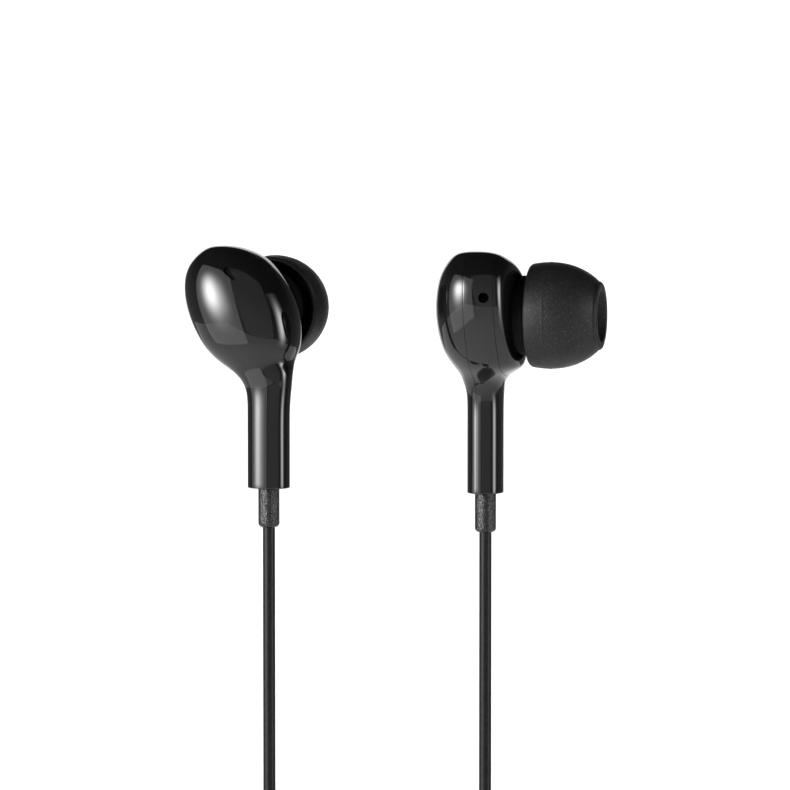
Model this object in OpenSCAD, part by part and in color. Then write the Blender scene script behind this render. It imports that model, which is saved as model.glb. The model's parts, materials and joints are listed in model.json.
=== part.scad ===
// Wired in-ear earphones: two earpieces, two branch cords, a splitter, a main cord and its plug.
// u runs along an earpiece's nozzle, v across it, and z up the stem from the stem's lower end.

/* [Earpiece] */
// Distance between the two stems
stem_gap = 26.45; // [25:0.05:30]
// Height of the nozzle's axis above the stem's lower end
nozzle_z = 21.8; // [21.4:0.1:22.2]
// How far the nozzle's axis lies across from the stem's axis
nozzle_v = -2.5; // [-2.8:0.1:-2.2]
// Turn of the left earpiece's nozzle, from the right towards the back
turn_a = 70; // [60:1:90]
// Turn of the right earpiece's nozzle, negative towards the front
turn_b = -13; // [-30:1:0]
// How much lower the right earpiece hangs
drop_b = 0.6; // [0:0.1:2]
// Wall of the glossy shells
wall = 0.8; // [0.7:0.05:0.9]

/* [Bulb and stem] */
// Half of the stem's thickness along the nozzle
stem_u = 2.2; // [2.1:0.05:2.4]
// Half of the stem's width across the nozzle
stem_v = 2.6; // [2.4:0.05:2.7]
// Half of the bulb's thickness along the nozzle
bulb_u = 6; // [5.9:0.05:6.2]
// Half of the bulb's width across the nozzle
bulb_v = 7; // [6.9:0.05:7.2]
// Front face of the bulb at the nozzle's axis
front_u = 5.6; // [5.4:0.1:5.7]
// Joint between the outer shell and the mid body, which splits the stem as well
seam_back = -0.6; // [-0.8:0.1:-0.5]
// Joint between the mid body and the nozzle cap
seam_front = 3; // [2.8:0.1:3.2]

/* [Nozzle and tip] */
// Radius of the collar behind the tip
collar_r = 4.8; // [4.4:0.1:5]
// Radius of the nozzle tube
nozzle_r = 2.6; // [2.4:0.05:2.7]
// Far end of the nozzle tube
nozzle_end = 12; // [11.4:0.1:12.6]
// Largest radius of the tip
tip_r = 6.45; // [6.2:0.05:6.7]
// Rear rim of the tip
tip_rear = 6.2; // [6.1:0.1:6.4]
// Where the tip is widest
tip_wide = 8.6; // [8.1:0.1:9.1]
// Front of the tip
tip_front = 14.8; // [14.4:0.1:15.2]
// Radius of the tip's front face
tip_face_r = 3.7; // [3.5:0.05:3.9]
// Gap between the tip's sleeve and the nozzle
tip_gap = 0.05; // [0.02:0.01:0.09]

/* [Cords] */
// Diameter of the two branch cords
branch_d = 1.5; // [1.4:0.1:1.6]
// Diameter of the main cord
main_d = 2; // [1.9:0.1:2.1]
// Length of the strain relief below each stem
relief_h = 4.8; // [4.5:0.1:5.2]
// Diameter of the plug's round contacts
plug_d = 3.5; // [3.45:0.05:3.55]

/* [Hidden] */
$fn = 48;

GLOSS = [0.02, 0.02, 0.022];
MATTE = [0.09, 0.09, 0.09];
STEEL = [0.75, 0.75, 0.76];
GOLD = [0.83, 0.68, 0.38];

// ---- bulb and stem surface ----
skin = 2.2;             // roundness of a level section, 2 is an ellipse
sides = 32;
front_lean = 0.2;       // slope of the bulb's front face across the nozzle
top_half = 0.38;        // half width of the last section below the top, as a share of the bulb's
// Sections that steer the surface: height, half width along and across the nozzle, centre along and across
stem_rows = [for (z = [-3 : 3 : 9]) [z, stem_u, stem_v, 0, 0]];
neck_rows = [[11, stem_u, stem_v + 0.05, 0, 0.05], [12.5, stem_u + 0.07, stem_v + 0.3, 0, 0],
    [13.7, stem_u + 0.3, stem_v + 0.8, -0.1, -0.4]];
// The same for the bulb, with the half widths as shares of the bulb's own
bulb_shares = [[14.6, 0.49, 0.58, 0.2, -1.05], [15.5, 0.7, 0.68, 0.95, -2.05], [17.1, 0.82, 0.85, 0.5, -2.3],
    [19.3, 0.93, 0.95, 0.6, -2.9], [21.9, 1, 1, 0.75, -3.6], [24.4, 0.96, 0.95, 0.75, -4.35],
    [26.7, 0.85, 0.81, 0.65, -5], [28.5, 0.63, 0.57, 0.4, -5.2], [29.5, top_half, 0.25, 0.1, -5.8],
    [29.6, 0, 0, 0.1, -5.9], [29.5, -top_half, -0.25, 0.1, -5.8]];
rows = concat(stem_rows, neck_rows,
    [for (s = bulb_shares) [s[0], s[1] * bulb_u, s[2] * bulb_v, s[3], s[4]]]);
spans = len(rows) - 3;
// The section at t, from 0 at the stem's lower end to spans at the bulb's top: a cubic B-spline
function section(t) =
    let (i = min(floor(t), spans - 1), f = t - i, g = 1 - f)
    (g * g * g * rows[i] + (3 * f * f * f - 6 * f * f + 4) * rows[i + 1]
        + (3 * g * g * g - 6 * g * g + 4) * rows[i + 2] + f * f * f * rows[i + 3]) / 6;
// The larger of a and b, with a fillet about k wide between them
function blend_max(a, b, k) = let (h = max(k - abs(a - b), 0) / k) max(a, b) + h * h * k / 4;
function rounded(x) = sign(x) * pow(abs(x), 2 / skin);
// One level section as a ring of points, drawn in by inset, and flattened towards the nozzle's side
function level(t, inset) =
    let (s = section(t), a = max(s[1] - inset, 0.05), b = max(s[2] - inset, 0.05))
    [for (i = [0 : sides - 1])
        let (w = 360 * i / sides, u = s[3] + a * rounded(cos(w)), v = s[4] + b * rounded(sin(w)),
             face = front_u + front_lean * (v - nozzle_v) - inset)
        [-blend_max(-u, -face, 1.2), v, s[0]]];

// A closed skin over rings of equal size
module skin_over(rings) {
    n = len(rings[0]);
    m = len(rings);
    polyhedron(
        points = [for (r = rings) each r],
        faces = concat(
            [[for (i = [0 : n - 1]) i]],
            [for (j = [0 : m - 2], i = [0 : n - 1]) let (k = (i + 1) % n)
                each [[j * n + i, (j + 1) * n + i, j * n + k],
                      [j * n + k, (j + 1) * n + i, (j + 1) * n + k]]],
            [[for (i = [n - 1 : -1 : 0]) (m - 1) * n + i]]));
}
neck_start = 7;         // where the stem runs into the neck, and the rings come closer
module bulb_and_stem() skin_over([for (t = [0, 2, 4, 6, each [neck_start : 0.5 : spans - 0.1], spans - 0.1])
    level(t, 0)]);
module cavity() skin_over([for (t = [0.4, 2, 4, 6, each [neck_start : 0.5 : spans - 0.7]]) level(t, wall)]);

// A slab of the earpiece between two planes across the nozzle, from low_z up
module slab(low_u, high_u, low_z) translate([low_u, -20, low_z]) cube([high_u - low_u, 40, 40]);
// Solids of revolution and cylinders along the nozzle, at v across and the nozzle's height
module along(v) translate([0, v, nozzle_z]) rotate([0, 90, 0]) children();
module disc(v, u, r, h) along(v) translate([0, 0, u]) cylinder(r = r, h = h);

driver_v = -2.9;        // the driver's axis across the nozzle
driver_r = 4.5;
vent = [-3.3, 26.2];      // the slot vent's place on the outer cap
vent_turn = -38;
vent_len = 1.35;
vent_r = 0.36;
side_vent = [1.9, 24.1];
side_vent_r = 0.62;

module vent_slot() translate([-8, vent.x, vent.y]) rotate([vent_turn, 0, 0]) rotate([0, 90, 0]) {
    translate([0, -vent_len / 2, 0]) cylinder(r = vent_r, h = 6);
    translate([0, vent_len / 2, 0]) cylinder(r = vent_r, h = 6);
    translate([-vent_r, -vent_len / 2, 0]) cube([2 * vent_r, vent_len, 6]);
}
// One freeform moulding, whose faces are all flat facets
module moulding() resize([0, 0, 0]) children();
module neck_hole() translate([0, 0, -1]) cylinder(r = neck_r, h = 3);
module outer_cap() color(GLOSS) moulding() difference() {
    intersection() {
        bulb_and_stem();
        slab(-10, seam_back, -1);
    }
    cavity();
    vent_slot();
    neck_hole();
}
bulkhead_low = 15;      // the wall that holds the driver starts here
bulkhead_t = 1;
module mid_body() color(GLOSS) moulding() difference() {
    bulb_and_stem();
    slab(-10, seam_back, -1);
    slab(seam_front, 10, -1);
    difference() {
        cavity();
        slab(seam_back, seam_back + bulkhead_t, bulkhead_low);
    }
    disc(driver_v, -2, driver_r, 4);
    translate([side_vent.x, -16, side_vent.y]) rotate([-90, 0, 0]) cylinder(r = side_vent_r, h = 10);
    neck_hole();
}
// Nozzle profile: collar, shoulder and tube around the sound bore
module nozzle() along(nozzle_v) rotate_extrude() polygon([
    [bore_r, collar_rear], [collar_r - 0.4, collar_rear], [collar_r, collar_rear + 0.4],
    [collar_r, collar_front - 0.5], [collar_r - 0.5, collar_front], [nozzle_r + 0.3, collar_front],
    [nozzle_r, collar_front + 0.3], [nozzle_r, nozzle_end - 0.2], [nozzle_r - 0.2, nozzle_end],
    [mesh_r, nozzle_end], [mesh_r, nozzle_end - 0.5], [bore_r, nozzle_end - 0.5]]);
bore_r = 1.8;
mesh_r = 2.2;
collar_rear = 3.8;      // the collar's ends along the nozzle
collar_front = 6;
module nozzle_cap() color(GLOSS) {
    moulding() difference() {
        intersection() {
            bulb_and_stem();
            slab(seam_front, 10, 10);
        }
        cavity();
        disc(nozzle_v, 0, collar_r - 0.6, 10);
    }
    nozzle();
}
module nozzle_mesh() color(STEEL) disc(nozzle_v, nozzle_end - 0.5, mesh_r, 0.15);

// ---- tip ----
tip_reach = (tip_front - tip_wide) / sqrt(1 - pow(tip_face_r / tip_r, 2));
function tip_at(u) = u < tip_wide
    ? tip_r - 0.25 * pow((tip_wide - u) / (tip_wide - tip_rear), 2)
    : tip_r * sqrt(1 - pow((u - tip_wide) / tip_reach, 2));
tip_skin = 0.55;
sleeve_r = nozzle_r + tip_gap;
core_r = sleeve_r + 0.95;
core_rear = collar_front + 0.7;
module ear_tip() color(MATTE) along(nozzle_v) rotate_extrude() polygon(concat(
    [[sleeve_r, core_rear], [core_r - 0.2, core_rear], [core_r, core_rear + 0.2], [core_r, tip_front - 2.6]],
    [for (u = [tip_front - 2.4 : -0.775 : tip_rear]) [tip_at(u) - tip_skin, u]],
    [[tip_at(tip_rear) - 0.45, tip_rear], [tip_at(tip_rear) - 0.1, tip_rear]],
    [for (k = [0 : 14]) let (u = tip_rear + 0.1 + (tip_front - 0.35 - tip_rear) * k / 14) [tip_at(u), u]],
    [[tip_face_r - 0.15, tip_front - 0.08], [tip_face_r - 0.35, tip_front],
     [sleeve_r + 0.45, tip_front], [sleeve_r, tip_front - 1.6]]));

// ---- strain relief and clamp in the stem ----
relief_r = 1.3;
neck_r = 0.9;
anchor_r = 1.15;        // the relief's flange inside the stem
module strain_relief() color(MATTE) rotate_extrude() polygon([
    [0, -relief_h], [relief_r - 0.6, -relief_h], [relief_r - 0.25, -relief_h + 0.12],
    [relief_r - 0.05, -relief_h + 0.45], [relief_r, -relief_h + 0.9], [relief_r, 0],
    [neck_r, 0], [neck_r, 1.2], [anchor_r, 1.2], [anchor_r, 1.8], [0, 1.8]]);
module wire_clamp() color(MATTE) difference() {
    translate([-0.8, -1, 1.8]) cube([1.6, 2, 1.8]);
    translate([0, 0, 1.8]) cylinder(r = 0.5, h = 4, center = true);
}
module vent_damper() color(MATTE) translate([-3.3, vent.x, vent.y])
    rotate([0, 20, -17]) rotate([0, 90, 0]) cylinder(r = 1.15, h = 0.25);

// ---- driver ----
module turned(points) along(driver_v) rotate_extrude() polygon(points);
module driver_frame() color(STEEL) turned([
    [3, -1.2], [driver_r, -1.2], [driver_r, 1.6], [4.2, 1.6], [4.2, -0.9], [3, -0.9]]);
module driver_yoke() color(STEEL) turned([
    [0, -2.6], [3, -2.6], [3, -0.5], [2.65, -0.5], [2.65, -2.2], [0, -2.2]]);
module driver_magnet() color(MATTE) disc(driver_v, -2.2, 1.9, 1.2);
module driver_plate() color(STEEL) disc(driver_v, -1, 1.9, 0.5);
module voice_coil() color(GOLD) turned([[2.08, -1.6], [2.36, -1.6], [2.36, 0], [2.08, 0]]);
module diaphragm() color(MATTE) turned([
    [0, 0.55], [1, 0.45], [1.7, 0.22], [2.08, 0], [2.5, 0], [3.5, 0.3],
    [3.5, 0.42], [2.5, 0.13], [2.1, 0.13], [1.75, 0.36], [1.05, 0.6], [0, 0.7]]);
module surround() color(MATTE) turned([
    [3.58, 0.3], [3.75, 0.5], [4, 0.5], [4.2, 0.3], [4.2, 0.42], [4.03, 0.64], [3.72, 0.64], [3.58, 0.42]]);
module driver_cover() color(STEEL) difference() {
    disc(driver_v, 1.6, driver_r, 0.25);
    for (t = [0 : 60 : 300]) along(driver_v) rotate(t) translate([2.6, 0, 1]) cylinder(r = 0.7, h = 2);
    disc(driver_v, 1, 0.8, 2);
}

// ---- cords ----
// A tube of radius r swept along points, with eight sides
function along_path(p, i) =
    let (a = p[max(i - 1, 0)], b = p[min(i + 1, len(p) - 1)], d = b - a) d / norm(d);
function ring_at(c, d, r) =
    let (x = cross(d, [0, 1, 0]), ex = x / norm(x), ey = cross(d, ex))
    [for (t = [22.5 : 45 : 337.5]) c + r * (cos(t) * ex + sin(t) * ey)];
module tube(p, r) color(GLOSS) skin_over([for (i = [0 : len(p) - 1]) ring_at(p[i], along_path(p, i), r)]);
function flip(p) = [for (q = p) [-q.x, q.y, q.z]];

half_gap = stem_gap / 2;
// Route of the left branch, from its strain relief to the hank
route_in = [[-half_gap, 0, -4.8], [-half_gap, 0, -8], [-half_gap, 0, -14], [-half_gap, 0, -20],
    [-half_gap, 0, -26], [-half_gap, 0, -32], [-half_gap, 0, -38], [-half_gap, 0, -42]];
// Route of the left branch, from the hank to the splitter
route_out = [[-half_gap, 4.5, -74.4], [-13, 4.4, -77], [-11.8, 4, -79.8], [-9.6, 3.2, -82.4],
    [-6.8, 2.2, -84.8], [-4.2, 1.3, -87.2], [-2.3, 0.6, -90], [-1.4, 0.1, -93], [-1.2, 0, -96]];
// Route of the main cord, from the splitter to its hank
route_main_in = [[0, 0, -110], [0, -0.1, -112], [-0.5, -0.4, -114.4], [-1.7, -1.1, -116.8],
    [-3.2, -1.7, -119.2], [-4.4, -2, -121.8], [-4.9, -2, -124.4], [-5, -1.9, -127]];
// Route of the main cord, from the hank over to the plug
route_main_out = [[7, 0, -124], [7.3, 0, -122.3], [8.2, 0, -120.8], [9.7, 0, -119.8], [11.5, 0, -119.5],
    [13.3, 0, -119.8], [14.8, 0, -120.8], [15.7, 0, -122.3], [16, 0, -124], [16, 0, -128]];

// The right branch starts lower, because its earpiece hangs lower
function lowered(p) = concat([[p[0].x, p[0].y, p[0].z - drop_b]], [for (i = [1 : len(p) - 1]) p[i]]);
module branch_tubes(side) {
    tube(side > 0 ? route_in : flip(lowered(route_in)), branch_d / 2);
    tube(side > 0 ? route_out : flip(route_out), branch_d / 2);
}
module main_tubes() {
    tube(route_main_in, main_d / 2);
    tube(route_main_out, main_d / 2);
}

// A stadium standing in the x-z plane, from y low to y high
module stadium(x, top, low, r, y0, y1) translate([x, y1, 0]) rotate([90, 0, 0]) {
    translate([0, top, 0]) cylinder(r = r, h = y1 - y0);
    translate([0, low, 0]) cylinder(r = r, h = y1 - y0);
    translate([-r, low, 0]) cube([2 * r, top - low, y1 - y0]);
}
branch_run = [-46, -70];     // the branch hank's straight runs
branch_turn_r = 3.75;        // the branch hank's end loops, at the cord's middle
branch_turns = 4;
main_run = [-126, -156];
main_turn_r = 7;
main_rows = 4;
module hank_branch() color(GLOSS) stadium(-half_gap + branch_turn_r, branch_run.x, branch_run.y,
    branch_turn_r + branch_d / 2, -branch_d / 2, (branch_turns - 0.5) * branch_d);
module hank_of_main() color(GLOSS) stadium(0, main_run.x, main_run.y, main_turn_r + main_d / 2,
    -main_d / 2, (main_rows - 0.5) * main_d);
// A flat band around a hank of half width w, from y low to y high
module band(x, z, w, y0, y1, h) color(MATTE) translate([x, 0, z]) difference() {
    translate([-w - 0.5, y0 - 0.5, 0]) cube([2 * w + 1, y1 - y0 + 1, h]);
    translate([-w, y0, -1]) cube([2 * w, y1 - y0, h + 2]);
}
module tie_branch() band(-half_gap + branch_turn_r, -60, branch_turn_r + branch_d / 2,
    -branch_d / 2, (branch_turns - 0.5) * branch_d, 3);
module tie_of_main() band(0, -143, main_turn_r + main_d / 2, -main_d / 2,
    (main_rows - 0.5) * main_d, 4);

// ---- splitter and plug ----
split_z = -110;
split_h = 14;
split_w = 5.4;
split_t = 3.6;
module split_solid() difference() {
    union() {
        translate([-split_w / 2 + 1.8, 0, split_z]) cylinder(r = split_t / 2, h = split_h);
        translate([split_w / 2 - 1.8, 0, split_z]) cylinder(r = split_t / 2, h = split_h);
        translate([-split_w / 2 + 1.8, -split_t / 2, split_z]) cube([split_w - 3.6, split_t, split_h]);
    }
    translate([0, 0, split_z + 2.5]) cylinder(r = 1.1, h = split_h - 5);
}
module splitter_front() color(MATTE) intersection() {
    split_solid();
    translate([-5, -5, split_z - 1]) cube([10, 5, split_h + 2]);
}
module splitter_back() color(MATTE) intersection() {
    split_solid();
    translate([-5, 0, split_z - 1]) cube([10, 5, split_h + 2]);
}
plug_x = 16;
plug_r = plug_d / 2;
module on_plug(z) translate([plug_x, 0, z]) children();
module plug_relief() color(MATTE) on_plug(-136) cylinder(r1 = 2.2, r2 = 1.3, h = 8);
module plug_body() color(MATTE) on_plug(-152) difference() {
    rotate_extrude() polygon([[0, 0], [2.7, 0], [3, 0.4], [3, 12.5], [2.2, 16], [0, 16]]);
    translate([0, 0, -1]) cylinder(r = 0.9, h = 7);
}
module plug_sleeve() color(GOLD) on_plug(-158) difference() {
    union() {
        cylinder(r = plug_r, h = 5);
        translate([0, 0, 5]) cylinder(r = 2.5, h = 1);
    }
    translate([0, 0, -1]) cylinder(r = 1.3, h = 8);
}
module plug_ring() color(GOLD) on_plug(-161.2) difference() {
    cylinder(r = plug_r, h = 2.4);
    translate([0, 0, -1]) cylinder(r = 1.3, h = 5);
}
module plug_tip() color(GOLD) on_plug(-166) {
    rotate_extrude() polygon([[0, 0], [0.5, 0.05], [1, 0.4], [1.75, 1.6], [1.75, 2], [1.35, 3],
        [1.75, 3.8], [1.75, 4], [0.6, 4], [0.6, 18], [0, 18]]);
}
module plug_insulators() color("white") on_plug(0) {
    insulator(-162, 0.8);
    insulator(-158.8, 0.8);
    translate([0, 0, -161.2]) liner(2.4);
    translate([0, 0, -158]) liner(9);
}
module insulator(z, h) translate([0, 0, z]) difference() {
    cylinder(r = plug_r, h = h);
    translate([0, 0, -1]) cylinder(r = 0.6, h = h + 2);
}
module liner(h) difference() {
    cylinder(r = h > 5 ? 0.9 : 1.3, h = h);
    translate([0, 0, -1]) cylinder(r = 0.6, h = h + 2);
}

// ---- places ----
// The origin is where the left tip sits in the ear, at the tip's widest ring
seat = [-half_gap + tip_wide * cos(turn_a) + nozzle_v * sin(turn_a),
    tip_wide * sin(turn_a) - nozzle_v * cos(turn_a), nozzle_z];
module place_all() translate(-seat) children();
module place_a() place_all() translate([-half_gap, 0, 0]) rotate(turn_a) mirror([0, 1, 0]) children();
module place_b() place_all() translate([half_gap, 0, -drop_b]) rotate(turn_b) children();

place_a() outer_cap();  // outer_cap_a
place_a() mid_body();  // mid_body_a
place_a() nozzle_cap();  // nozzle_cap_a
place_a() nozzle_mesh();  // nozzle_mesh_a
place_a() ear_tip();  // ear_tip_a
place_a() strain_relief();  // strain_relief_a
place_a() wire_clamp();  // wire_clamp_a
place_a() vent_damper();  // vent_damper_a
place_a() driver_frame();  // driver_frame_a
place_a() driver_yoke();  // driver_yoke_a
place_a() driver_magnet();  // driver_magnet_a
place_a() driver_plate();  // driver_plate_a
place_a() voice_coil();  // voice_coil_a
place_a() diaphragm();  // diaphragm_a
place_a() surround();  // surround_a
place_a() driver_cover();  // driver_cover_a
place_b() outer_cap();  // outer_cap_b
place_b() mid_body();  // mid_body_b
place_b() nozzle_cap();  // nozzle_cap_b
place_b() nozzle_mesh();  // nozzle_mesh_b
place_b() ear_tip();  // ear_tip_b
place_b() strain_relief();  // strain_relief_b
place_b() wire_clamp();  // wire_clamp_b
place_b() vent_damper();  // vent_damper_b
place_b() driver_frame();  // driver_frame_b
place_b() driver_yoke();  // driver_yoke_b
place_b() driver_magnet();  // driver_magnet_b
place_b() driver_plate();  // driver_plate_b
place_b() voice_coil();  // voice_coil_b
place_b() diaphragm();  // diaphragm_b
place_b() surround();  // surround_b
place_b() driver_cover();  // driver_cover_b
place_all() branch_tubes(1);  // cord_a
place_all() branch_tubes(-1);  // cord_b
place_all() main_tubes();  // cord_main
place_all() hank_branch();  // hank_a
place_all() mirror([1, 0, 0]) hank_branch();  // hank_b
place_all() hank_of_main();  // hank_main
place_all() tie_branch();  // tie_a
place_all() mirror([1, 0, 0]) tie_branch();  // tie_b
place_all() tie_of_main();  // tie_main
place_all() splitter_front();
place_all() splitter_back();
place_all() plug_relief();
place_all() plug_body();
place_all() plug_sleeve();
place_all() plug_ring();
place_all() plug_tip();
place_all() plug_insulators();
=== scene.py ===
"""Wired in-ear earphones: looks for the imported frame. Lengths are in millimetres until MM scales them."""
import json
from math import copysign, cos, pi, radians, sin, sqrt

import bmesh
import bpy
from mathutils import Matrix, Vector


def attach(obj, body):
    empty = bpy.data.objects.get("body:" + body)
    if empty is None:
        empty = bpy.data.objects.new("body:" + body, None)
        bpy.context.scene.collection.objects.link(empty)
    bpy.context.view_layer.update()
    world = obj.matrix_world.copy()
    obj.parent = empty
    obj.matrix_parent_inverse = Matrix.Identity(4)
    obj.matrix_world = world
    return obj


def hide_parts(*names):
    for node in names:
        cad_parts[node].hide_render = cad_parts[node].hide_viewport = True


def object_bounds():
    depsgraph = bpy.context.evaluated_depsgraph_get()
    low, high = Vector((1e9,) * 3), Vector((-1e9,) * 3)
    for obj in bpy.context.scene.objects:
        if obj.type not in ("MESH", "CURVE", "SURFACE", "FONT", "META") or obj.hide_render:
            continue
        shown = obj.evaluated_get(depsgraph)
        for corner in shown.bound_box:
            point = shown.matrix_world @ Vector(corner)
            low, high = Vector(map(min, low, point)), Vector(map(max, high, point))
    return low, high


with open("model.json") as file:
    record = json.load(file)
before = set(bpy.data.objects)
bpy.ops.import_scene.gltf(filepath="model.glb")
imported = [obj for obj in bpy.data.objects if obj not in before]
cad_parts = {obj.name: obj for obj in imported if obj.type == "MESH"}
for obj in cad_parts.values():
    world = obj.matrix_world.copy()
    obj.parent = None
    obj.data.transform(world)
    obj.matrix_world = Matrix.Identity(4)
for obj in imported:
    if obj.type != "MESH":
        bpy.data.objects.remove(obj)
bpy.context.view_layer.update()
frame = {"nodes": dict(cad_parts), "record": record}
MM = 0.001

# ---- driving dimensions, the same as the CAD model's ----
HALF_GAP = 13.225
NOZZLE_Z, NOZZLE_V = 21.8, -2.5
TURN = {"a": radians(70), "b": radians(-13)}
DROP_B = 0.6
WALL = 0.8
STEM_U, STEM_V = 2.2, 2.6
BULB_U, BULB_V = 6.0, 7.0
SKIN = 2.2
FRONT_U, FRONT_LEAN, SEAM_BACK, SEAM_FRONT = 5.6, 0.2, -0.6, 3.0
COLLAR_REAR, COLLAR_FRONT = 3.8, 6.0
COLLAR_R, NOZZLE_R, NOZZLE_END, BORE_R, MESH_R = 4.8, 2.6, 12.0, 1.8, 2.2
TIP_R, TIP_REAR, TIP_WIDE, TIP_FRONT, TIP_FACE_R, TIP_SKIN = 6.45, 6.2, 8.6, 14.8, 3.7, 0.55
SLEEVE_R = NOZZLE_R + 0.05
BRANCH_D, MAIN_D = 1.5, 2.0
RELIEF_H, RELIEF_R = 4.8, 1.3
SEAT = Vector((-HALF_GAP + TIP_WIDE * cos(TURN["a"]) + NOZZLE_V * sin(TURN["a"]),
               TIP_WIDE * sin(TURN["a"]) - NOZZLE_V * cos(TURN["a"]), NOZZLE_Z))

# Design millimetres, midway between the stems at the left stem's lower end, to the row frame
TO_ROW = Matrix.Scale(MM, 4) @ Matrix.Translation(-SEAT)
EARPIECE = {
    "a": TO_ROW @ Matrix.Translation((-HALF_GAP, 0, 0)) @ Matrix.Rotation(TURN["a"], 4, "Z")
    @ Matrix.Diagonal((1, -1, 1, 1)),
    "b": TO_ROW @ Matrix.Translation((HALF_GAP, 0, -DROP_B)) @ Matrix.Rotation(TURN["b"], 4, "Z"),
}
# Along the nozzle: a lathe's own axis turned onto u, at the nozzle's height
ALONG_NOZZLE = Matrix.Translation((0, NOZZLE_V, NOZZLE_Z)) @ Matrix.Rotation(pi / 2, 4, "Y")


# ---- camera ----
CAMERA_AT = Vector((2.18, 0, 11.35))      # what the picture's middle looks at
CAMERA_FAR = 450.0
CAMERA_DOWN = radians(3.1)
PICTURE_W = 96.35                        # width of the view at the stems


def make_camera():
    data = bpy.data.cameras.new("camera")
    data.sensor_width = 36
    data.lens = 36 * CAMERA_FAR / PICTURE_W
    data.clip_start = 0.01
    camera = bpy.data.objects.new("camera", data)
    bpy.context.scene.collection.objects.link(camera)
    away = Vector((0, -cos(CAMERA_DOWN), sin(CAMERA_DOWN)))
    camera.location = TO_ROW @ (CAMERA_AT + away * CAMERA_FAR)
    camera.rotation_euler = (-away).to_track_quat("-Z", "Y").to_euler()
    bpy.context.scene.camera = camera


make_camera()


# ---- material helpers ----
def new_material(name):
    material = bpy.data.materials.new(name)
    material.use_nodes = True
    tree = material.node_tree
    return material, tree, tree.nodes["Principled BSDF"]


def add(tree, kind, **values):
    """A new node, with the values set on its inputs of those names or else on the node itself."""
    node = tree.nodes.new(kind)
    for key, value in values.items():
        if key in node.inputs:
            node.inputs[key].default_value = value
        else:
            setattr(node, key, value)
    return node


def ramp(tree, fac, stops):
    """A colour ramp over fac. Each stop is (position, grey) or (position, colour)."""
    node = tree.nodes.new("ShaderNodeValToRGB")
    elements = node.color_ramp.elements
    while len(elements) < len(stops):
        elements.new(0.5)
    for element, (at, colour) in zip(elements, stops):
        element.position = at
        element.color = (*colour, 1) if hasattr(colour, "__len__") else (colour, colour, colour, 1)
    tree.links.new(fac, node.inputs["Fac"])
    return node.outputs["Color"]


def bump(tree, shader, height, strength, distance_mm):
    node = add(tree, "ShaderNodeBump", Strength=strength, Distance=distance_mm * MM)
    tree.links.new(height, node.inputs["Height"])
    tree.links.new(node.outputs["Normal"], shader.inputs["Normal"])


def noise(tree, scale_mm, detail=3.0):
    where = add(tree, "ShaderNodeTexCoord")
    node = add(tree, "ShaderNodeTexNoise", Scale=1 / (scale_mm * MM), Detail=detail)
    tree.links.new(where.outputs["Object"], node.inputs["Vector"])
    return node.outputs["Fac"]


def cells(tree, scale_mm):
    where = add(tree, "ShaderNodeTexCoord")
    node = add(tree, "ShaderNodeTexVoronoi", Scale=1 / (scale_mm * MM))
    tree.links.new(where.outputs["Object"], node.inputs["Vector"])
    return node.outputs["Distance"]


def gloss_shell():
    """High-gloss black moulding: a faint orange peel, and smudges that change the roughness."""
    material, tree, shader = new_material("gloss_shell")
    shader.inputs["Base Color"].default_value = (0.004, 0.004, 0.0045, 1)
    shader.inputs["Specular IOR Level"].default_value = 0.5
    smudge = ramp(tree, noise(tree, 4.0, 5.0), [(0.35, 0.035), (0.7, 0.085)])
    tree.links.new(smudge, shader.inputs["Roughness"])
    bump(tree, shader, noise(tree, 0.9, 2.0), 0.04, 0.02)
    return material


def silicone():
    """Matte silicone: a fine grain with paler specks, and an uneven sheen."""
    material, tree, shader = new_material("silicone")
    grain = noise(tree, 0.14, 4.0)
    colour = ramp(tree, grain, [(0.35, (0.002, 0.002, 0.002)), (0.58, (0.008, 0.008, 0.0082)),
                                (0.72, (0.04, 0.04, 0.041))])
    tree.links.new(colour, shader.inputs["Base Color"])
    rough = ramp(tree, noise(tree, 2.5, 3.0), [(0.3, 0.46), (0.7, 0.62)])
    tree.links.new(rough, shader.inputs["Roughness"])
    shader.inputs["Specular IOR Level"].default_value = 0.27
    bump(tree, shader, grain, 0.5, 0.03)
    return material


def stippled_rubber():
    """Spark-eroded rubber of the strain reliefs: small pits that catch the light as specks."""
    material, tree, shader = new_material("stippled_rubber")
    colour = ramp(tree, noise(tree, 0.1, 3.0), [(0.35, (0.002, 0.002, 0.002)), (0.6, (0.006, 0.006, 0.006)),
                                                (0.75, (0.05, 0.05, 0.052))])
    tree.links.new(colour, shader.inputs["Base Color"])
    shader.inputs["Roughness"].default_value = 0.27
    shader.inputs["Specular IOR Level"].default_value = 0.45
    bump(tree, shader, cells(tree, 0.2), 0.8, 0.08)
    return material


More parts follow.
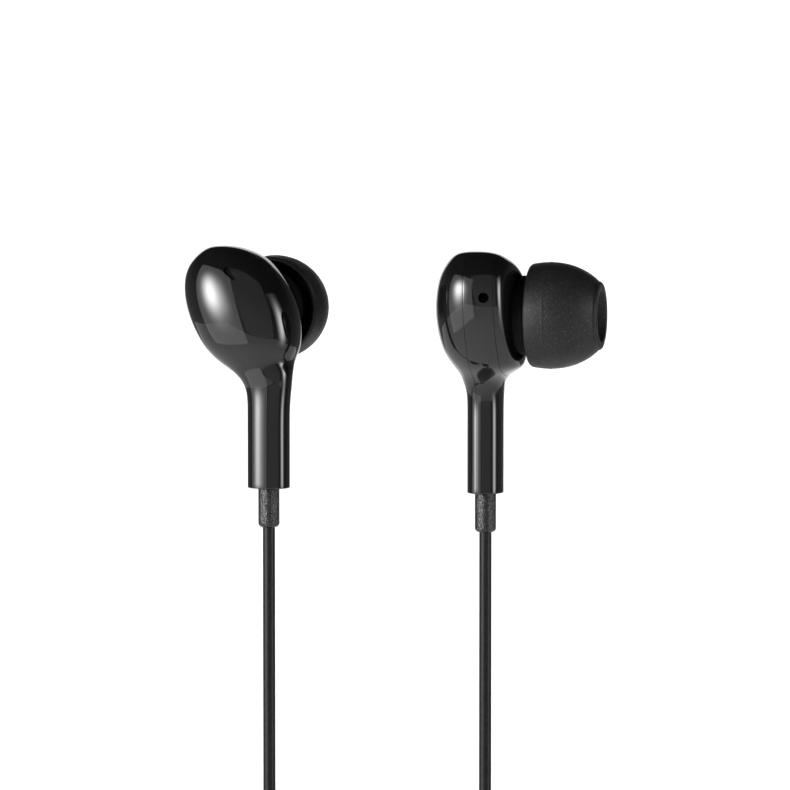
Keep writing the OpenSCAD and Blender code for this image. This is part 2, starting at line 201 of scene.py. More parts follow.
def cord_rubber():
    """Satin cord jacket with a faint crossed texture from the braid below it."""
    material, tree, shader = new_material("cord_rubber")
    where = add(tree, "ShaderNodeTexCoord")
    waves = []
    for turn in (0.85, -0.85):
        mapping = add(tree, "ShaderNodeMapping")
        mapping.inputs["Rotation"].default_value = (0, turn, 0)
        tree.links.new(where.outputs["Object"], mapping.inputs["Vector"])
        wave = add(tree, "ShaderNodeTexWave", Scale=1 / (1.6 * MM), Distortion=0.4)
        tree.links.new(mapping.outputs["Vector"], wave.inputs["Vector"])
        waves.append(wave.outputs["Fac"])
    cross = add(tree, "ShaderNodeMath", operation="MULTIPLY")
    tree.links.new(waves[0], cross.inputs[0])
    tree.links.new(waves[1], cross.inputs[1])
    shades = [(0.3, (0.004, 0.004, 0.0045)), (0.75, (0.009, 0.009, 0.0095))]
    colour = ramp(tree, noise(tree, 0.5, 4.0), shades)
    tree.links.new(colour, shader.inputs["Base Color"])
    rough = ramp(tree, noise(tree, 0.25, 4.0), [(0.3, 0.3), (0.7, 0.42)])
    tree.links.new(rough, shader.inputs["Roughness"])
    shader.inputs["Specular IOR Level"].default_value = 0.17
    bump(tree, shader, cross.outputs["Value"], 0.14, 0.03)
    return material


def metal(name, colour, rough, scale_mm=0.3):
    """Plated or turned metal with a fine uneven finish."""
    material, tree, shader = new_material(name)
    grain = noise(tree, scale_mm, 4.0)
    shades = [(0.3, tuple(0.82 * c for c in colour)), (0.7, colour)]
    tree.links.new(ramp(tree, grain, shades), shader.inputs["Base Color"])
    tree.links.new(ramp(tree, grain, [(0.3, rough), (0.7, rough + 0.12)]), shader.inputs["Roughness"])
    shader.inputs["Metallic"].default_value = 1.0
    bump(tree, shader, grain, 0.08, 0.02)
    return material


def satin_plastic(name, colour, rough, specular=0.5):
    """Fine-eroded plastic, as on the plug, the splitter and the ties."""
    material, tree, shader = new_material(name)
    grain = noise(tree, 0.12, 4.0)
    shades = [(0.3, tuple(0.7 * c for c in colour)), (0.7, colour)]
    tree.links.new(ramp(tree, grain, shades), shader.inputs["Base Color"])
    tree.links.new(ramp(tree, noise(tree, 1.5, 3.0), [(0.3, rough), (0.7, rough + 0.12)]),
                   shader.inputs["Roughness"])
    shader.inputs["Specular IOR Level"].default_value = specular
    bump(tree, shader, grain, 0.2, 0.02)
    return material


MATERIAL = {
    "shell": gloss_shell(),
    "silicone": silicone(),
    "relief_rubber": stippled_rubber(),
    "cord": cord_rubber(),
    "mesh_metal": metal("mesh_metal", (0.32, 0.32, 0.33), 0.35, 0.2),
    "steel": metal("steel", (0.55, 0.55, 0.56), 0.3),
    "magnet": metal("magnet", (0.6, 0.6, 0.62), 0.2),
    "copper": metal("copper", (0.75, 0.33, 0.14), 0.35, 0.15),
    "film": satin_plastic("film", (0.5, 0.44, 0.3), 0.25),
    "damper_cloth": satin_plastic("damper_cloth", (0.03, 0.03, 0.03), 0.8),
    "tie": satin_plastic("tie", (0.02, 0.02, 0.02), 0.5),
    "plug_plastic": satin_plastic("plug_plastic", (0.02, 0.02, 0.021), 0.4),
    "gold": metal("gold", (0.9, 0.62, 0.27), 0.16, 0.5),
    "insulator": satin_plastic("insulator", (0.015, 0.015, 0.015), 0.4),
}


# The nozzle is the same moulding as its shell, but eroded, so it shows no gloss. Its colour is also darker
# than the shell's and its reflection weaker: painted shade in the recess inside the tip's skirt
NOZZLE_PLASTIC_AND_SHADE = satin_plastic("nozzle_plastic_and_shade", (0.002, 0.002, 0.002), 0.75, 0.15)


# ---- piece helpers ----
def finish_piece(piece, slot, body, replaces):
    """Gives the piece the material of its slot, fixes it to its body and takes the place of CAD nodes."""
    piece.data.materials.clear()
    piece.data.materials.append(MATERIAL[slot])
    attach(piece, body)
    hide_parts(*replaces)


def mesh_piece(name, bm, place=None):
    """A new object from bm, moved into the row frame by place, with its faces outwards."""
    if place is not None:
        bm.transform(place)
        if place.determinant() < 0:
            bmesh.ops.reverse_faces(bm, faces=bm.faces)
    mesh = bpy.data.meshes.new(name)
    bm.to_mesh(mesh)
    bm.free()
    for polygon in mesh.polygons:
        polygon.use_smooth = True
    piece = bpy.data.objects.new(name, mesh)
    bpy.context.scene.collection.objects.link(piece)
    return piece


def apply_modifiers(piece):
    depsgraph = bpy.context.evaluated_depsgraph_get()
    mesh = bpy.data.meshes.new_from_object(piece.evaluated_get(depsgraph))
    old = piece.data
    piece.modifiers.clear()
    piece.data = mesh
    bpy.data.meshes.remove(old)


def lathe(profile, sides=96):
    """A closed solid of revolution about z from (radius, height) points, in order round the section."""
    bm = bmesh.new()
    rings = []
    for r, z in profile:
        if r < 1e-6:
            rings.append([bm.verts.new((0, 0, z))])
        else:
            rings.append([bm.verts.new((r * cos(2 * pi * i / sides), r * sin(2 * pi * i / sides), z))
                          for i in range(sides)])
    for one, two in zip(rings, rings[1:] + rings[:1]):
        if len(one) == 1 and len(two) == 1:
            continue
        for i in range(sides):
            k = (i + 1) % sides
            corners = [one[i % len(one)], one[k % len(one)], two[k % len(two)], two[i % len(two)]]
            bm.faces.new(list(dict.fromkeys(corners)))
    bmesh.ops.recalc_face_normals(bm, faces=bm.faces)
    return bm


def arc(cr, cz, r, start, end, steps=6):
    """Points on a circle about (cr, cz), from start to end in degrees."""
    return [(cr + r * cos(radians(start + (end - start) * k / steps)),
             cz + r * sin(radians(start + (end - start) * k / steps))) for k in range(steps + 1)]


# ---- cords ----
def smooth_path(points, step=0.35):
    """A smooth curve through points, as points at most step apart."""
    p = [Vector(q) for q in points]
    p = [2 * p[0] - p[1]] + p + [2 * p[-1] - p[-2]]
    path = []
    for i in range(1, len(p) - 2):
        n = max(2, int((p[i + 1] - p[i]).length / step))
        for k in range(n):
            t = k / n
            path.append(0.5 * (2 * p[i] + (p[i + 1] - p[i - 1]) * t
                               + (2 * p[i - 1] - 5 * p[i] + 4 * p[i + 1] - p[i + 2]) * t ** 2
                               + (3 * p[i] - p[i - 1] - 3 * p[i + 1] + p[i + 2]) * t ** 3))
    return path + [p[-2]]


RUN_STEPS, TURN_STEPS = 5, 14            # points on a hank's straight run and on its end loop


def half_turn(cx, cy, cz, r, start=0.0):
    """Points of half a turn about (cx, cz), anticlockwise from start in radians."""
    turns = [start + pi * i / TURN_STEPS for i in range(TURN_STEPS)]
    return [Vector((cx + r * cos(t), cy, cz + r * sin(t))) for t in turns]


def hank(cx, top, low, turns):
    """Turns of a hank standing in the x-z plane. Each turn is (radius, y), down on the left first."""
    points = []
    for k, (r, y) in enumerate(turns):
        next_r, next_y = turns[min(k + 1, len(turns) - 1)]
        for i in range(RUN_STEPS):
            points.append(Vector((cx - r, y, top + (low - top) * i / RUN_STEPS)))
        points += half_turn(cx, y, low, r, pi)
        for i in range(RUN_STEPS):
            points.append(Vector((cx + r, y, low + (top - low) * i / RUN_STEPS)))
        if k == len(turns) - 1:
            break
        for i in range(TURN_STEPS):
            t = pi * i / TURN_STEPS
            share = (1 - cos(t)) / 2
            rr = r + (next_r - r) * share
            points.append(Vector((cx + rr * cos(t), y + (next_y - y) * share, top + rr * sin(t))))
    return points


# The routes' points outside the hanks, the same as the CAD model's
ROUTE_IN = [(-HALF_GAP, 0, z) for z in (-4.8, -8, -14, -20, -26, -32, -38, -42)]
ROUTE_OUT = [(-HALF_GAP, 4.5, -74.4), (-13, 4.4, -77), (-11.8, 4, -79.8), (-9.6, 3.2, -82.4),
             (-6.8, 2.2, -84.8), (-4.2, 1.3, -87.2), (-2.3, 0.6, -90), (-1.4, 0.1, -93), (-1.2, 0, -96)]
ROUTE_MAIN_IN = [(0, 0, -110), (0, -0.1, -112), (-0.5, -0.4, -114.4), (-1.7, -1.1, -116.8),
                 (-3.2, -1.7, -119.2), (-4.4, -2, -121.8), (-4.9, -2, -124.4), (-5, -1.9, -127)]
# Across the front of the hank's outer turns, and back into its first run
ROUTE_MAIN_SINK = [(-5, -1.4, -131), (-5, -0.5, -136), (-5, 0, -142), (-5, 0, -149)]
ROUTE_MAIN_OUT = [(7, 0, -124), (7.3, 0, -122.3), (8.2, 0, -120.8), (9.7, 0, -119.8), (11.5, 0, -119.5),
                  (13.3, 0, -119.8), (14.8, 0, -120.8), (15.7, 0, -122.3), (16, 0, -124), (16, 0, -128)]
# Each hank's straight runs go from the first height to the second
BRANCH_RUN = (-46, -70)
BRANCH_TURN_R, BRANCH_TURNS = 3.75, 4
MAIN_RUN = (-126, -156)
MAIN_INNER_R, MAIN_OUTER_R, MAIN_TURNS = 5, 7, 4


def vectors(points):
    return [Vector(p) for p in points]


def branch_route(side):
    top, low = BRANCH_RUN
    cx = -HALF_GAP + BRANCH_TURN_R
    last_y = BRANCH_D * (BRANCH_TURNS - 1)
    loops = hank(cx, top, low, [(BRANCH_TURN_R, BRANCH_D * k) for k in range(BRANCH_TURNS)])
    # One more top loop brings the cord back to the outer run, which it leaves downwards
    loops += half_turn(cx, last_y, top, BRANCH_TURN_R)
    loops += [Vector((-HALF_GAP, last_y, z)) for z in range(top, low - 1, -6)]
    route = vectors(ROUTE_IN) + loops + vectors(ROUTE_OUT)
    if side == "b":
        route = [Vector((-p.x, p.y, p.z)) for p in route]
        route[0].z -= DROP_B
    return smooth_path(route)


def main_route():
    rows = [MAIN_D * k for k in range(MAIN_TURNS)]
    turns = [(MAIN_INNER_R, y) for y in rows] + [(MAIN_OUTER_R, y) for y in reversed(rows)]
    after_first_run = hank(0, *MAIN_RUN, turns)[RUN_STEPS:]
    return smooth_path(vectors(ROUTE_MAIN_IN + ROUTE_MAIN_SINK) + after_first_run
                       + vectors(ROUTE_MAIN_OUT))


def cord_curve(name, path, diameter):
    data = bpy.data.curves.new(name, "CURVE")
    data.dimensions = "3D"
    data.bevel_depth = diameter / 2 * MM
    data.bevel_resolution = 5
    data.use_fill_caps = True
    spline = data.splines.new("POLY")
    spline.points.add(len(path) - 1)
    for point, co in zip(spline.points, path):
        point.co = (*(TO_ROW @ co), 1)
    spline.use_smooth = True
    piece = bpy.data.objects.new(name, data)
    bpy.context.scene.collection.objects.link(piece)
    return piece


def make_cords():
    for side in "ab":
        path = branch_route(side)
        piece = cord_curve("branch_cord_" + side, path, BRANCH_D)
        finish_piece(piece, "cord", "root", ["cord_" + side, "hank_" + side])
    path = main_route()
    piece = cord_curve("main_cord", path, MAIN_D)
    finish_piece(piece, "cord", "root", ["cord_main", "hank_main"])


make_cords()


# ---- bulb and stem surface, steered by the CAD model's sections ----
TOP_HALF, TOP_HALF_V = 0.38, 0.25        # the top section's shares
STEM_STEP = 3
# Height, half width along and across the nozzle, centre along and across
STEM_ROWS = [(STEM_STEP * k, STEM_U, STEM_V, 0, 0) for k in range(-1, 4)]
NECK_ROWS = [(11, STEM_U, STEM_V + 0.05, 0, 0.05), (12.5, STEM_U + 0.07, STEM_V + 0.3, 0, 0),
             (13.7, STEM_U + 0.3, STEM_V + 0.8, -0.1, -0.4)]
# The same for the bulb, with the half widths as shares of the bulb's own
BULB_SHARES = [(14.6, 0.49, 0.58, 0.2, -1.05), (15.5, 0.7, 0.68, 0.95, -2.05), (17.1, 0.82, 0.85, 0.5, -2.3),
               (19.3, 0.93, 0.95, 0.6, -2.9), (21.9, 1, 1, 0.75, -3.6), (24.4, 0.96, 0.95, 0.75, -4.35),
               (26.7, 0.85, 0.81, 0.65, -5), (28.5, 0.63, 0.57, 0.4, -5.2),
               (29.5, TOP_HALF, TOP_HALF_V, 0.1, -5.8), (29.6, 0, 0, 0.1, -5.9),
               (29.5, -TOP_HALF, -TOP_HALF_V, 0.1, -5.8)]
ROWS = STEM_ROWS + NECK_ROWS + [(z, u * BULB_U, v * BULB_V, cu, cv) for z, u, v, cu, cv in BULB_SHARES]
SPANS = len(ROWS) - 3


def section(t):
    """The section at t, from 0 at the stem's lower end to SPANS at the bulb's top: a cubic B-spline."""
    i = min(int(t), SPANS - 1)
    f = t - i
    g = 1 - f
    weights = (g ** 3, 3 * f ** 3 - 6 * f ** 2 + 4, 3 * g ** 3 - 6 * g ** 2 + 4, f ** 3)
    return [sum(w * row[k] for w, row in zip(weights, ROWS[i:i + 4])) / 6 for k in range(5)]


def blend_max(a, b, k):
    """The larger of a and b, with a fillet about k wide between them."""
    h = max(k - abs(a - b), 0) / k
    return max(a, b) + h * h * k / 4


def rounded(x):
    """A circle's sine or cosine, made the superellipse's."""
    return copysign(abs(x) ** (2 / SKIN), x)


FACE_FILLET = 1.2


def level(t, inset, sides):
    """One level section as a ring of points, flattened towards the nozzle's side."""
    z, half_u, half_v, cu, cv = section(t)
    points = []
    for i in range(sides):
        turn = 2 * pi * i / sides
        u = cu + (half_u - inset) * rounded(cos(turn))
        v = cv + (half_v - inset) * rounded(sin(turn))
        face = FRONT_U + FRONT_LEAN * (v - NOZZLE_V) - inset
        points.append((-blend_max(-u, -face, FACE_FILLET), v, z))
    return points


STEM_EDGE = 0.14                         # the stem's lower edge is rounded by this


def bulb_and_stem(sides=144, fine=160):
    """The whole outer surface, with fine rings over the neck and the bulb."""
    rings = [level(STEM_EDGE * (1 - cos(radians(a))) / STEM_STEP, STEM_EDGE * (1 - sin(radians(a))), sides)
             for a in range(0, 91, 15)]
    stem_spans = len(STEM_ROWS) - 1
    rings += [level(0.2 * k, 0, sides) for k in range(1, 5 * stem_spans + 1)]
    rings += [level(stem_spans + (SPANS - stem_spans) * k / fine, 0, sides) for k in range(1, fine)]
    bm = bmesh.new()
    rows = [[bm.verts.new(p) for p in ring] for ring in rings]
    for low, high in zip(rows, rows[1:]):
        for i in range(sides):
            k = (i + 1) % sides
            bm.faces.new((low[i], low[k], high[k], high[i]))
    bm.faces.new(list(reversed(rows[0])))
    z, _, _, cu, cv = section(SPANS)
    pole = bm.verts.new((cu, cv, z))
    for i in range(sides):
        bm.faces.new((rows[-1][i], rows[-1][(i + 1) % sides], pole))
    bmesh.ops.recalc_face_normals(bm, faces=bm.faces)
    return bm


# ---- glossy shells ----
SEAM_GAP = 0.022                         # half the gap between two shells
SEAM_EDGE = 0.1
SHELL_WALL = WALL - 0.05                 # clears what the CAD fits inside the shell
VENT, VENT_TURN, VENT_LEN, VENT_R = (-3.3, 26.2), -38, 1.35, 0.36
SIDE_VENT, SIDE_VENT_R = (1.9, 24.1), 0.62


def cut_plane(bm, at, normal):
    bmesh.ops.bisect_plane(bm, geom=bm.verts[:] + bm.edges[:] + bm.faces[:], dist=1e-5,
                           plane_co=at, plane_no=normal)


def keep_faces(bm, wanted):
    gone = [f for f in bm.faces if not wanted(f.calc_center_median())]
    bmesh.ops.delete(bm, geom=gone, context="FACES")


def in_outer_cap(p):
    return p.x < SEAM_BACK - SEAM_GAP


def in_mid_body(p):
    return SEAM_BACK + SEAM_GAP < p.x < SEAM_FRONT - SEAM_GAP


def in_nozzle_cap(p):
    return p.x > SEAM_FRONT + SEAM_GAP


def shell_sheet(wanted):
    """The bulb and stem surface, cut along the seams and with only the wanted side kept."""
    bm = bulb_and_stem()
    for side in (-1, 1):
        cut_plane(bm, (SEAM_BACK + side * SEAM_GAP, 0, 0), (1, 0, 0))
        cut_plane(bm, (SEAM_FRONT + side * SEAM_GAP, 0, 0), (1, 0, 0))
    keep_faces(bm, wanted)
    loose = [v for v in bm.verts if not v.link_faces]
    bmesh.ops.delete(bm, geom=loose, context="VERTS")
    return bm


def thicken(piece):
    """The sheet becomes a wall with softly rounded edges along its seams."""
    solid = piece.modifiers.new("wall", "SOLIDIFY")
    solid.thickness = SHELL_WALL * MM
    solid.offset = -1
    apply_modifiers(piece)
    soft = piece.modifiers.new("edge", "BEVEL")
    soft.width = SEAM_EDGE * MM
    soft.segments = 3
    soft.limit_method = "ANGLE"
    soft.angle_limit = radians(50)
    apply_modifiers(piece)


def cut_out(piece, tool):
    hole = piece.modifiers.new("hole", "BOOLEAN")
    hole.operation = "DIFFERENCE"
    hole.solver = "EXACT"
    hole.object = tool
    apply_modifiers(piece)
    bpy.data.objects.remove(tool)


def prism(outline, low, high):
    """A closed prism along z from an outline of (x, y) points."""
    bm = bmesh.new()
    bottom = [bm.verts.new((x, y, low)) for x, y in outline]
    top = [bm.verts.new((x, y, high)) for x, y in outline]
    bm.faces.new(list(reversed(bottom)))
    bm.faces.new(top)
    for i in range(len(outline)):
        k = (i + 1) % len(outline)
        bm.faces.new((bottom[i], bottom[k], top[k], top[i]))
    bmesh.ops.recalc_face_normals(bm, faces=bm.faces)
    return bm


def slot_tool(place):
    """Cuts the slot vent: a prism along the nozzle's way, through the outer cap."""
    outline = arc(0, VENT_LEN / 2, VENT_R, 0, 180, 12) + arc(0, -VENT_LEN / 2, VENT_R, 180, 360, 12)
    place = place @ Matrix.Translation((-8, *VENT)) @ Matrix.Rotation(radians(VENT_TURN), 4, "X")
    return mesh_piece("slot", prism(outline, 0, 6), place @ Matrix.Rotation(pi / 2, 4, "Y"))


def round_tool(place, sides=40):
    """Cuts the round vent: a prism from the front, through the mid body."""
    turns = [2 * pi * i / sides for i in range(sides)]
    outline = [(SIDE_VENT_R * cos(t), SIDE_VENT_R * sin(t)) for t in turns]
    place = place @ Matrix.Translation((SIDE_VENT[0], -16, SIDE_VENT[1])) @ Matrix.Rotation(-pi / 2, 4, "X")
    return mesh_piece("hole", prism(outline, 0, 10), place)


def smooth_by_angle(piece, degrees=40):
    """Smooth faces, with the edges that turn by more than this kept sharp."""
    bm = bmesh.new()
    bm.from_mesh(piece.data)
    for edge in bm.edges:
        edge.smooth = len(edge.link_faces) != 2 or edge.calc_face_angle(0) < radians(degrees)
    for face in bm.faces:
        face.smooth = True
    bm.to_mesh(piece.data)
    bm.free()


# Each shell's side of the seams, and the tool that cuts its vent
SHELLS = {"outer_cap": (in_outer_cap, slot_tool), "mid_body": (in_mid_body, round_tool),
          "nozzle_cap": (in_nozzle_cap, None)}


def make_shells(side):
    place = EARPIECE[side]
    for name, (wanted, vent_tool) in SHELLS.items():
        shell = mesh_piece(f"{name}_shell_{side}", shell_sheet(wanted), place)
        thicken(shell)
        if vent_tool:
            cut_out(shell, vent_tool(place))
        smooth_by_angle(shell)
        finish_piece(shell, "shell", "root", [f"{name}_{side}"])
    nozzle = mesh_piece(f"nozzle_tube_{side}", lathe(nozzle_profile()), place @ ALONG_NOZZLE)
    smooth_by_angle(nozzle)
    finish_piece(nozzle, "shell", "root", [f"nozzle_cap_{side}"])
    # Darker and duller than the shell: painted shade in the recess inside the tip's skirt
    nozzle.data.materials[0] = NOZZLE_PLASTIC_AND_SHADE


def nozzle_profile():
    """Collar, shoulder and tube around the sound bore."""
    return ([(BORE_R, COLLAR_REAR), (COLLAR_R - 0.4, COLLAR_REAR), (COLLAR_R, COLLAR_REAR + 0.4)]
            + arc(COLLAR_R - 0.3, COLLAR_FRONT - 0.3, 0.3, 0, 90)
            + arc(NOZZLE_R + 0.4, COLLAR_FRONT + 0.4, 0.4, 270, 180)
            + arc(NOZZLE_R - 0.25, NOZZLE_END - 0.25, 0.25, 0, 90)
            + arc(MESH_R + 0.06, NOZZLE_END - 0.06, 0.06, 90, 180, 3)
            + [(MESH_R, NOZZLE_END - 0.5), (BORE_R, NOZZLE_END - 0.5)])


# ---- silicone tips ----
TIP_REACH = (TIP_FRONT - TIP_WIDE) / sqrt(1 - (TIP_FACE_R / TIP_R) ** 2)
CORE_R = SLEEVE_R + 0.95
CORE_REAR = COLLAR_FRONT + 0.7


RIM_R, FACE_R = 0.2, 0.42                # roundings of the skirt's rim and of the front face's edge
RING_HIGH, RING_WIDE = 0.045, 0.14       # the moulding's parting ring, at the widest place


def tip_at(u):
    """The tip's outer radius at u along the nozzle."""
    if u < TIP_WIDE:
        return TIP_R - 0.25 * ((TIP_WIDE - u) / (TIP_WIDE - TIP_REAR)) ** 2
    return TIP_R * sqrt(1 - ((u - TIP_WIDE) / TIP_REACH) ** 2)


def tip_profile(steps=64):
    """Core, hollow skirt, rounded rim, parting ring and wide mouth."""
    core = arc(CORE_R - 0.15, CORE_REAR + 0.15, 0.15, 270, 360, 4) + [(CORE_R, TIP_FRONT - 3.2)]
    # From the hollow's bottom back along the inside of the skirt
    inside = [(tip_at(u) - TIP_SKIN, u) for u in [TIP_FRONT - 2.5 - 0.2 * k for k in range(31)]
              if u > TIP_REAR + RIM_R]
    rim = arc(tip_at(TIP_REAR) - TIP_SKIN / 2 + 0.04, TIP_REAR + RIM_R, RIM_R, 180, 360, 6)
    outside = []
    for k in range(steps + 1):
        u = TIP_REAR + 0.25 + (TIP_FRONT - FACE_R - TIP_REAR - 0.25) * k / steps
        ring = RING_HIGH * max(0, 1 - abs(u - TIP_WIDE) / RING_WIDE)
        outside.append((tip_at(u) + ring, u))
    front = arc(outside[-1][0] - FACE_R, TIP_FRONT - FACE_R, FACE_R, 15, 90, 6)
    mouth = arc(SLEEVE_R + 0.62, TIP_FRONT - 0.15, 0.15, 90, 170, 4)
    mouth += [(SLEEVE_R + 0.3, TIP_FRONT - 0.6), (SLEEVE_R, TIP_FRONT - 1.5)]
    return [(SLEEVE_R, CORE_REAR + 0.05)] + core + inside + rim + outside + front + mouth


def make_tip(side):
    tip = mesh_piece("silicone_tip_" + side, lathe(tip_profile(), 128), EARPIECE[side] @ ALONG_NOZZLE)
    smooth_by_angle(tip, 50)
    finish_piece(tip, "silicone", "tip_" + side, ["ear_tip_" + side])


# ---- nozzle mesh: a woven disc of crossing wires ----
MESH_PITCH, WIRE_R, WAVE = 0.24, 0.05, 0.045
MESH_AT = NOZZLE_END - 0.42


def add_wire(bm, way, across, phase, sides=6):
    """One waving wire across the disc, along x if way is 0 and along y if it is 1."""
    half = sqrt(MESH_R ** 2 - across ** 2) - 0.02
    steps = max(4, int(2 * half / (MESH_PITCH / 2)))
    rings = []
    for i in range(steps + 1):
        s = -half + 2 * half * i / steps
        lift = WAVE * cos(pi * s / MESH_PITCH + pi * phase)
        ring = []
        for c in range(sides):
            t = 2 * pi * c / sides
            off = across + WIRE_R * cos(t)
            x, y = (off, s) if way else (s, off)
            ring.append(bm.verts.new((x, y, MESH_AT + WIRE_R * sin(t) + lift)))
        rings.append(ring)
    for one, two in zip(rings, rings[1:]):
        for c in range(sides):
            k = (c + 1) % sides
            bm.faces.new((one[c], one[k], two[k], two[c]))
    bm.faces.new(list(reversed(rings[0])))
    bm.faces.new(rings[-1])


def make_nozzle_mesh(side):
    bm = bmesh.new()
    count = int(2 * MESH_R / MESH_PITCH)
    for way in (0, 1):
        for k in range(-count // 2, count // 2 + 1):
            if abs(k * MESH_PITCH) <= MESH_R - 0.08:
                add_wire(bm, way, k * MESH_PITCH, k + way)
    bmesh.ops.recalc_face_normals(bm, faces=bm.faces)
    piece = mesh_piece("woven_mesh_" + side, bm, EARPIECE[side] @ ALONG_NOZZLE)
    finish_piece(piece, "mesh_metal", "root", ["nozzle_mesh_" + side])


# ---- strain reliefs ----
def make_relief(side):
    """A sleeve round the cord, with its flange inside the stem."""
    profile = ([(0, -RELIEF_H), (0.76, -RELIEF_H)]
               + arc(RELIEF_R - 0.5, -RELIEF_H + 0.5, 0.5, 270, 360, 8)
               + [(RELIEF_R, -3.6), (RELIEF_R, -2.4), (RELIEF_R, -1.2)]
               + arc(RELIEF_R - 0.08, -0.1, 0.08, 0, 90, 3)
               + [(0.9, -0.02), (0.9, 1.2), (1.15, 1.2), (1.15, 1.8), (0, 1.8)])
    piece = mesh_piece("strain_relief_sleeve_" + side, lathe(profile), EARPIECE[side])
    smooth_by_angle(piece)
    finish_piece(piece, "relief_rubber", "root", ["strain_relief_" + side])


for side in "ab":
    make_shells(side)
    make_tip(side)
    make_nozzle_mesh(side)
    make_relief(side)


# ---- CAD nodes that stay: better materials ----
REPLACED = {"cord_a", "cord_b", "cord_main", "hank_a", "hank_b", "hank_main"}
REPLACED |= {f"{name}_{side}" for side in "ab" for name in
             ("outer_cap", "mid_body", "nozzle_cap", "nozzle_mesh", "ear_tip", "strain_relief")}


def smooth_normals(piece, degrees=32):
    """Smooth shading below this angle. The mesh's points stay where they are."""
    for polygon in piece.data.polygons:
        polygon.use_smooth = True
    faces_of = {}
    for polygon in piece.data.polygons:
        for key in polygon.edge_keys:
            faces_of.setdefault(key, []).append(polygon.normal)
    for edge in piece.data.edges:
        normals = faces_of.get(edge.key, [])
        edge.use_edge_sharp = len(normals) == 2 and normals[0].angle(normals[1], 0) > radians(degrees)


for entry in frame["record"]["subparts"]:
    if entry["node"] not in REPLACED:
        kept = frame["nodes"][entry["node"]]
        kept.data.materials.clear()
        kept.data.materials.append(MATERIAL[entry["material_slot"]])
        smooth_normals(kept)


# ---- stage, in metres ----
FLOOR_HALF, FLOOR_DROP = 1.5, 0.36       # half its width, and how far it is below the hanging cords
CARD_HALF, CARD_AT, CARD_LOW = 0.28, 0.62, -0.4
LIGHTS_FAR = 0.7
LIGHTS_AIM = TO_ROW @ Vector((0, 0, 16))


def glowing_paper(glow):
    material, tree, shader = new_material("paper")
    shader.inputs["Base Color"].default_value = (0.3, 0.3, 0.3, 1)
    shader.inputs["Roughness"].default_value = 0.9
    shader.inputs["Emission Color"].default_value = (1, 1, 1, 1)
    shader.inputs["Emission Strength"].default_value = glow
    return material


def sheet(name, corners, material):
    bm = bmesh.new()
    bm.faces.new([bm.verts.new(c) for c in corners])
    piece = mesh_piece(name, bm)
    piece.data.materials.append(material)


def make_stage():
    """A pale floor well below the hanging cords, and a white card behind the earpieces."""
    paper = glowing_paper(0.85)
    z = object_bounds()[0].z - FLOOR_DROP
    w, c = FLOOR_HALF, CARD_HALF
    sheet("floor", [(-w, -w, z), (w, -w, z), (w, w, z), (-w, w, z)], paper)
    y, low = CARD_AT, CARD_LOW
    sheet("backdrop", [(-c, y, low), (c, y, low), (c, y, c), (-c, y, c)], paper)


def maths(tree, operation, one, two=0.0):
    """A Math node. Each of one and two is a value or another node's output."""
    node = add(tree, "ShaderNodeMath", operation=operation)
    for socket, value in zip(node.inputs, (one, two)):
        if hasattr(value, "is_output"):
            tree.links.new(value, socket)
        else:
            socket.default_value = value
    return node.outputs[0]


def bell(tree, split, size, width, middle):
    """exp(-(x / width)^2 - (y / height)^2) over a light's own coordinates, which go from 0 to 1."""
    squares = []
    for k, way in enumerate("XY"):
        off = maths(tree, "SUBTRACT", split.outputs[way], middle[k])
        off = maths(tree, "ABSOLUTE", maths(tree, "MULTIPLY", off, size[k] / width[k]))
        squares.append(maths(tree, "POWER", off, 2.0))
    total = maths(tree, "ADD", *squares)
    return maths(tree, "EXPONENT", maths(tree, "MULTIPLY", total, -1.0))


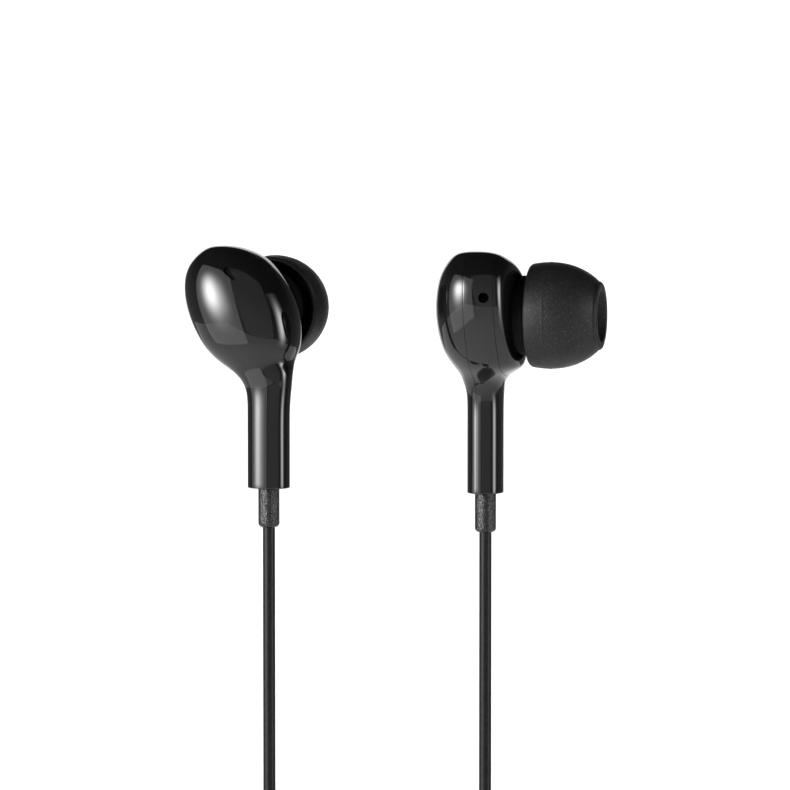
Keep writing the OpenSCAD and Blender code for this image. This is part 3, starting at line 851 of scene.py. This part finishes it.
def panel(name, azimuth, elevation, size, edge, peak=0.0, width=(1, 1), lift=0.0):
    """A softbox seen azimuth degrees right of the camera, of radiance edge.

    A soft spot adds up to peak. It is width across and high, a share lift of the height above the middle.
    """
    a, e = radians(azimuth), radians(elevation)
    at = LIGHTS_AIM + LIGHTS_FAR * Vector((sin(a) * cos(e), -cos(a) * cos(e), sin(e)))
    data = bpy.data.lights.new(name, "AREA")
    data.shape = "RECTANGLE"
    data.size, data.size_y = size
    data.energy = pi * size[0] * size[1]
    light = bpy.data.objects.new(name, data)
    light.location = at
    light.rotation_euler = (LIGHTS_AIM - at).to_track_quat("-Z", "Y").to_euler()
    bpy.context.scene.collection.objects.link(light)
    data.use_nodes = True
    tree = data.node_tree
    where = add(tree, "ShaderNodeNewGeometry")
    split = add(tree, "ShaderNodeSeparateXYZ")
    tree.links.new(where.outputs["Parametric"], split.inputs[0])
    glow = maths(tree, "MULTIPLY", bell(tree, split, size, width, (0.5, 0.5 + lift)), peak)
    tree.links.new(maths(tree, "ADD", glow, edge), tree.nodes["Emission"].inputs["Strength"])


def make_lights():
    panel("key", -59, -2, (0.9, 1.3), 1.2, 26, (0.17, 0.19), 0.1)
    panel("strip_right", 67, 2, (0.4, 1.0), 0.3, 12, (0.11, 0.24), 0.04)
    panel("front_fill", 8, 18, (0.9, 1.05), 0.32)


def make_world():
    """Pale below, darker above the horizon, and white where it is seen directly."""
    world = bpy.data.worlds.new("world")
    world.use_nodes = True
    tree = world.node_tree
    where = add(tree, "ShaderNodeTexCoord")
    split = add(tree, "ShaderNodeSeparateXYZ")
    tree.links.new(where.outputs["Generated"], split.inputs[0])
    height = add(tree, "ShaderNodeMapRange")
    height.inputs["From Min"].default_value = -1
    tree.links.new(split.outputs["Z"], height.inputs["Value"])
    shades = ramp(tree, height.outputs["Result"], [(0.3, 0.5), (0.36, 0.2), (0.55, 0.12), (0.75, 0.02)])
    path = add(tree, "ShaderNodeLightPath")
    mix = add(tree, "ShaderNodeMix", data_type="RGBA")
    # In colour mode a Mix node takes its factor on input 0 and its two colours on inputs 6 and 7
    factor, shaded, direct = mix.inputs[0], mix.inputs[6], mix.inputs[7]
    tree.links.new(path.outputs["Is Camera Ray"], factor)
    tree.links.new(shades, shaded)
    direct.default_value = (1, 1, 1, 1)
    tree.links.new(mix.outputs[2], tree.nodes["Background"].inputs["Color"])
    bpy.context.scene.world = world


make_stage()
make_lights()
make_world()
bpy.context.scene.view_settings.view_transform = "Standard"
